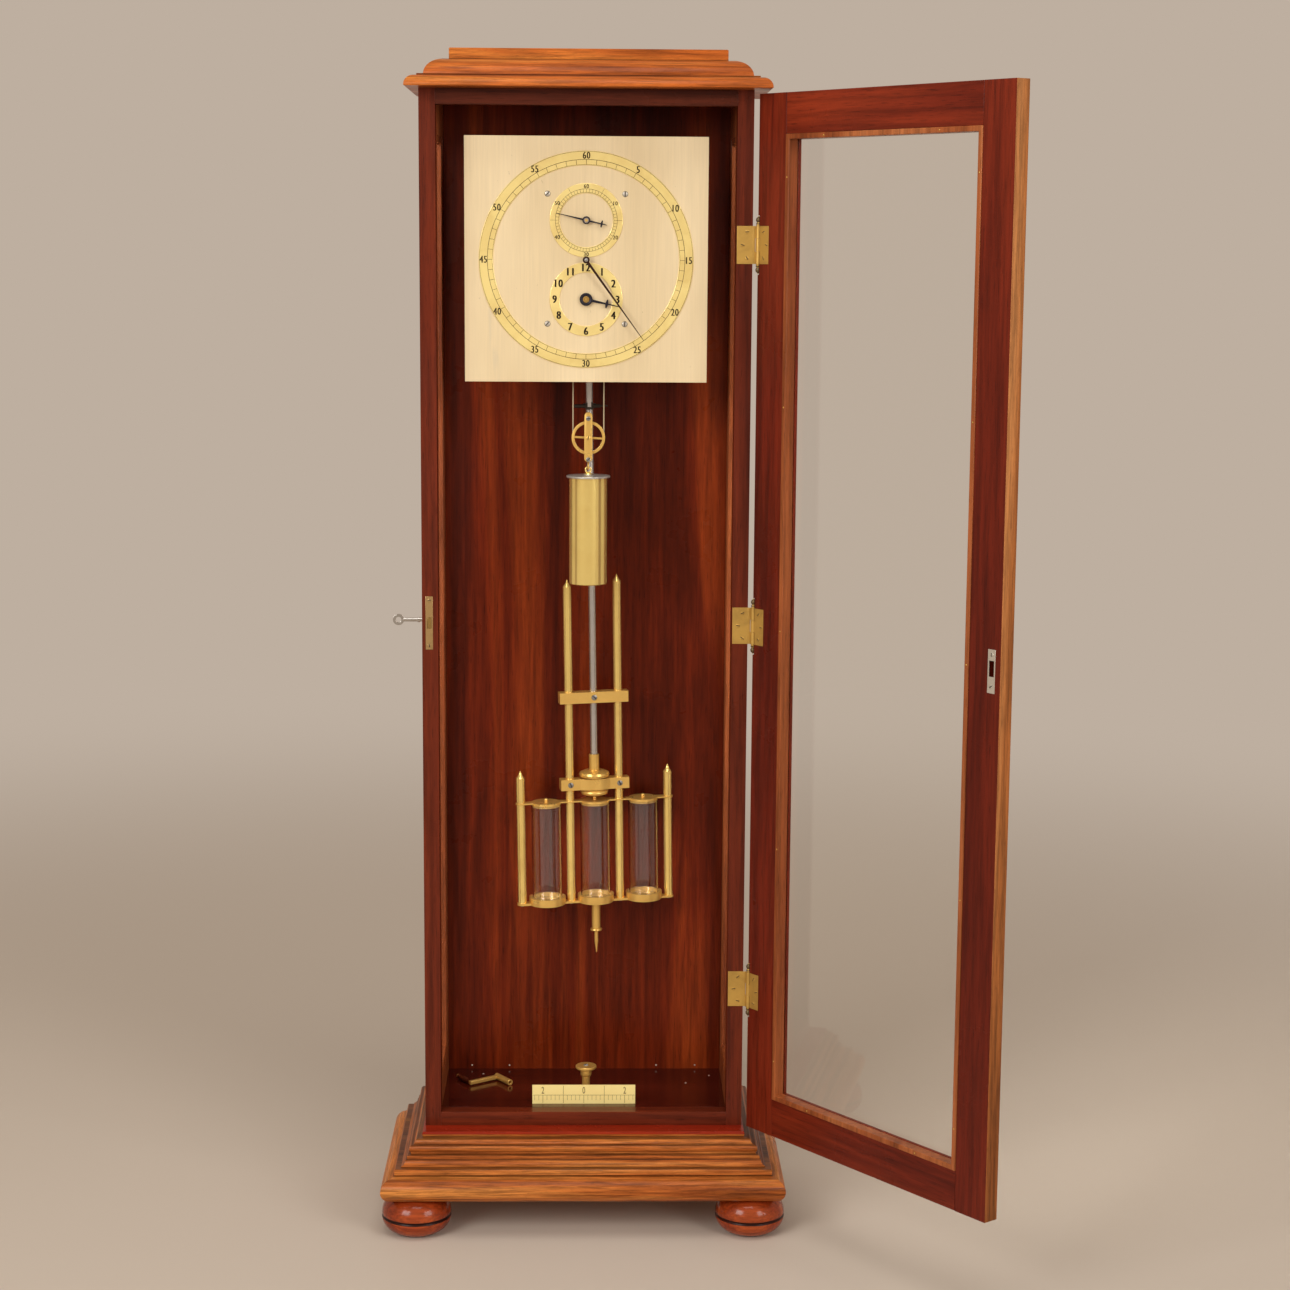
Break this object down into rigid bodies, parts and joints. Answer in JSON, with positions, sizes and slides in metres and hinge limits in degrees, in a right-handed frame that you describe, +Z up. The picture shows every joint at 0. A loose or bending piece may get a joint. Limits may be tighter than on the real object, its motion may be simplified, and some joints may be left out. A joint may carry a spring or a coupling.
{
  "type": "longcase clock",
  "caption": "Tall glazed regulator clock with its door open, one weight on a pulley and a jar pendulum, a moulded plinth on bun feet and a stepped cornice.",
  "frame": {"origin": "the middle of the front left bun foot's underside, on the floor plane", "axes": "+Z up, +X to the right as one faces the dial, +Y from the dial towards the wall"},
  "size_m": [0.8196, 0.5829, 1.641],
  "materials": {
    "case_wood": "satin varnish",
    "foot_wood": "gloss varnish",
    "mahogany": "gloss varnish",
    "glass": "clear",
    "brass": "polished, lightly aged",
    "steel": "satin",
    "dark_steel": "dark blued",
    "cast_bracket": "dull",
    "dial_silver": "silvered, brushed",
    "line": "twisted gut",
    "handle_wood": "turned and waxed"
  },
  "bodies": {
    "case": {"back_panel": "mahogany", "left_side_frame": "case_wood", "right_side_frame": "case_wood", "side_glass": "glass", "front_stiles": "mahogany", "header_rail": "mahogany", "sill_rail": "mahogany", "floor_board": "mahogany", "cornice_moulding": "case_wood", "top_board": "case_wood", "plinth_upper": "case_wood", "plinth_lower": "case_wood", "bun_feet": "foot_wood", "hinge_case_leaves": "brass", "lock_case": "brass", "seat_bracket": "cast_bracket", "movement_plates": "brass", "pillars": "brass", "dial_plate": "dial_silver", "chapter_rings": "brass", "dial_screws": "steel", "suspension_bracket": "cast_bracket", "beat_scale": "brass", "weight_line": "line"},
    "door": {"door_stiles": "mahogany", "door_rails": "mahogany", "door_beads": "mahogany", "door_glass": "glass", "hinge_door_leaves": "brass", "strike_plate": "steel"},
    "bolt": {"lock_bolt": "steel"},
    "key": {"door_key": "steel"},
    "minute_arbor": {"centre_wheel": "brass", "minute_hand": "dark_steel"},
    "great_wheel_arbor": {"great_wheel": "brass"},
    "barrel": {"winding_barrel": "brass"},
    "click": {"click": "steel"},
    "third_arbor": {"third_wheel": "brass"},
    "seconds_arbor": {"escape_wheel": "brass", "seconds_hand": "dark_steel"},
    "motion_arbor": {"motion_wheel": "brass"},
    "hour_arbor": {"hour_wheel": "brass", "hour_hand": "dark_steel"},
    "pallet_arbor": {"pallets": "steel", "crutch": "dark_steel"},
    "pendulum": {"suspension_spring": "steel", "pendulum_rod": "steel", "frame_rods": "brass", "cross_bars": "brass", "jar_plates": "brass", "glass_jars": "glass", "jar_lids": "brass", "pendulum_pointer": "brass"},
    "nut": {"rating_nut": "brass"},
    "weight": {"weight_shell": "brass", "pulley_yoke": "brass"},
    "weight_pulley": {"pulley": "brass"},
    "floor_knob": {"hold_down_knob": "brass"},
    "crank": {"winding_crank": "brass"},
    "handle": {"crank_handle": "handle_wood"}
  },
  "joints": [
    {"name": "door_hinge", "type": "hinge", "parent": "case", "child": "door", "pos_m": [0.4685, 0.0334, 0.862], "axis": [0, 0, 1], "range_deg": [-128, 40]},
    {"name": "key_turn", "type": "hinge", "parent": "case", "child": "key", "pos_m": [-0.004, 0.052, 0.8669], "axis": [1, 0, 0], "range_deg": [0, 180]},
    {"name": "bolt_throw", "type": "slide", "parent": "case", "child": "bolt", "axis": [0, -1, 0], "range_m": [0, 0.009]},
    {"name": "minute_spin", "type": "hinge", "parent": "case", "child": "minute_arbor", "pos_m": [0.236, 0.101, 1.361], "axis": [0, 1, 0], "continuous": true},
    {"name": "great_wheel_spin", "type": "hinge", "parent": "case", "child": "great_wheel_arbor", "pos_m": [0.236, 0.101, 1.3075], "axis": [0, 1, 0], "continuous": true},
    {"name": "click_lift", "type": "hinge", "parent": "great_wheel_arbor", "child": "click", "pos_m": [0.26464, 0.1098, 1.31936], "axis": [0, 1, 0], "range_deg": [-12, 0], "stiffness_Nm_per_rad": 0.004, "springref_deg": 2.86},
    {"name": "third_spin", "type": "hinge", "parent": "case", "child": "third_arbor", "pos_m": [0.22198, 0.101, 1.39021], "axis": [0, 1, 0], "continuous": true},
    {"name": "seconds_spin", "type": "hinge", "parent": "case", "child": "seconds_arbor", "pos_m": [0.236, 0.101, 1.4145], "axis": [0, 1, 0], "continuous": true},
    {"name": "motion_spin", "type": "hinge", "parent": "case", "child": "motion_arbor", "pos_m": [0.2551, 0.101, 1.33533], "axis": [0, 1, 0], "continuous": true},
    {"name": "hour_spin", "type": "hinge", "parent": "case", "child": "hour_arbor", "pos_m": [0.236, 0.101, 1.3075], "axis": [0, 1, 0], "continuous": true},
    {"name": "pendulum_swing", "type": "hinge", "parent": "case", "child": "pendulum", "pos_m": [0.236, 0.179, 1.464], "axis": [0, 1, 0], "range_deg": [-0.8, 2.6]},
    {"name": "pallet_rock", "type": "hinge", "parent": "case", "child": "pallet_arbor", "pos_m": [0.236, 0.101, 1.464], "axis": [0, 1, 0], "range_deg": [-0.9, 2.7]},
    {"name": "nut_turn", "type": "hinge", "parent": "pendulum", "child": "nut", "pos_m": [0.24965, 0.179, 0.61411], "axis": [-0.0161, 0, 0.9999], "continuous": true},
    {"name": "weight_travel", "type": "slide", "parent": "case", "child": "weight", "axis": [0, 0, 1], "range_m": [-0.69, 0.03], "deforming": ["weight_line"]},
    {"name": "barrel_spin", "type": "hinge", "parent": "case", "child": "barrel", "pos_m": [0.236, 0.101, 1.3075], "axis": [0, 1, 0], "range_deg": [-4500, 220]},
    {"name": "pulley_spin", "type": "hinge", "parent": "weight", "child": "weight_pulley", "pos_m": [0.2396, 0.119, 1.115], "axis": [0, 1, 0], "range_deg": [-1900, 100]},
    {"name": "knob_turn", "type": "hinge", "parent": "case", "child": "floor_knob", "pos_m": [0.239, 0.098, 0.2], "axis": [0, 0, 1], "continuous": true},
    {"name": "crank_lift", "type": "slide", "parent": "case", "child": "crank", "axis": [0, 0, 1], "range_m": [0, 0.15]},
    {"name": "handle_spin", "type": "hinge", "parent": "crank", "child": "handle", "pos_m": [0.07102, 0.15282, 0.165], "axis": [0.5736, -0.8192, 0], "continuous": true}
  ],
  "couplings": [
    {"joint": "key_turn", "follows": "bolt_throw", "rad_per_m": 348.72},
    {"joint": "great_wheel_spin", "follows": "minute_spin", "ratio": -0.083333},
    {"joint": "third_spin", "follows": "minute_spin", "ratio": -8},
    {"joint": "seconds_spin", "follows": "minute_spin", "ratio": 60},
    {"joint": "motion_spin", "follows": "minute_spin", "ratio": -0.33333},
    {"joint": "hour_spin", "follows": "minute_spin", "ratio": 0.083333},
    {"joint": "pallet_rock", "follows": "pendulum_swing", "ratio": 1},
    {"joint": "barrel_spin", "follows": "weight_travel", "rad_per_m": 111.73},
    {"joint": "pulley_spin", "follows": "weight_travel", "rad_per_m": 46.512}
  ]
}
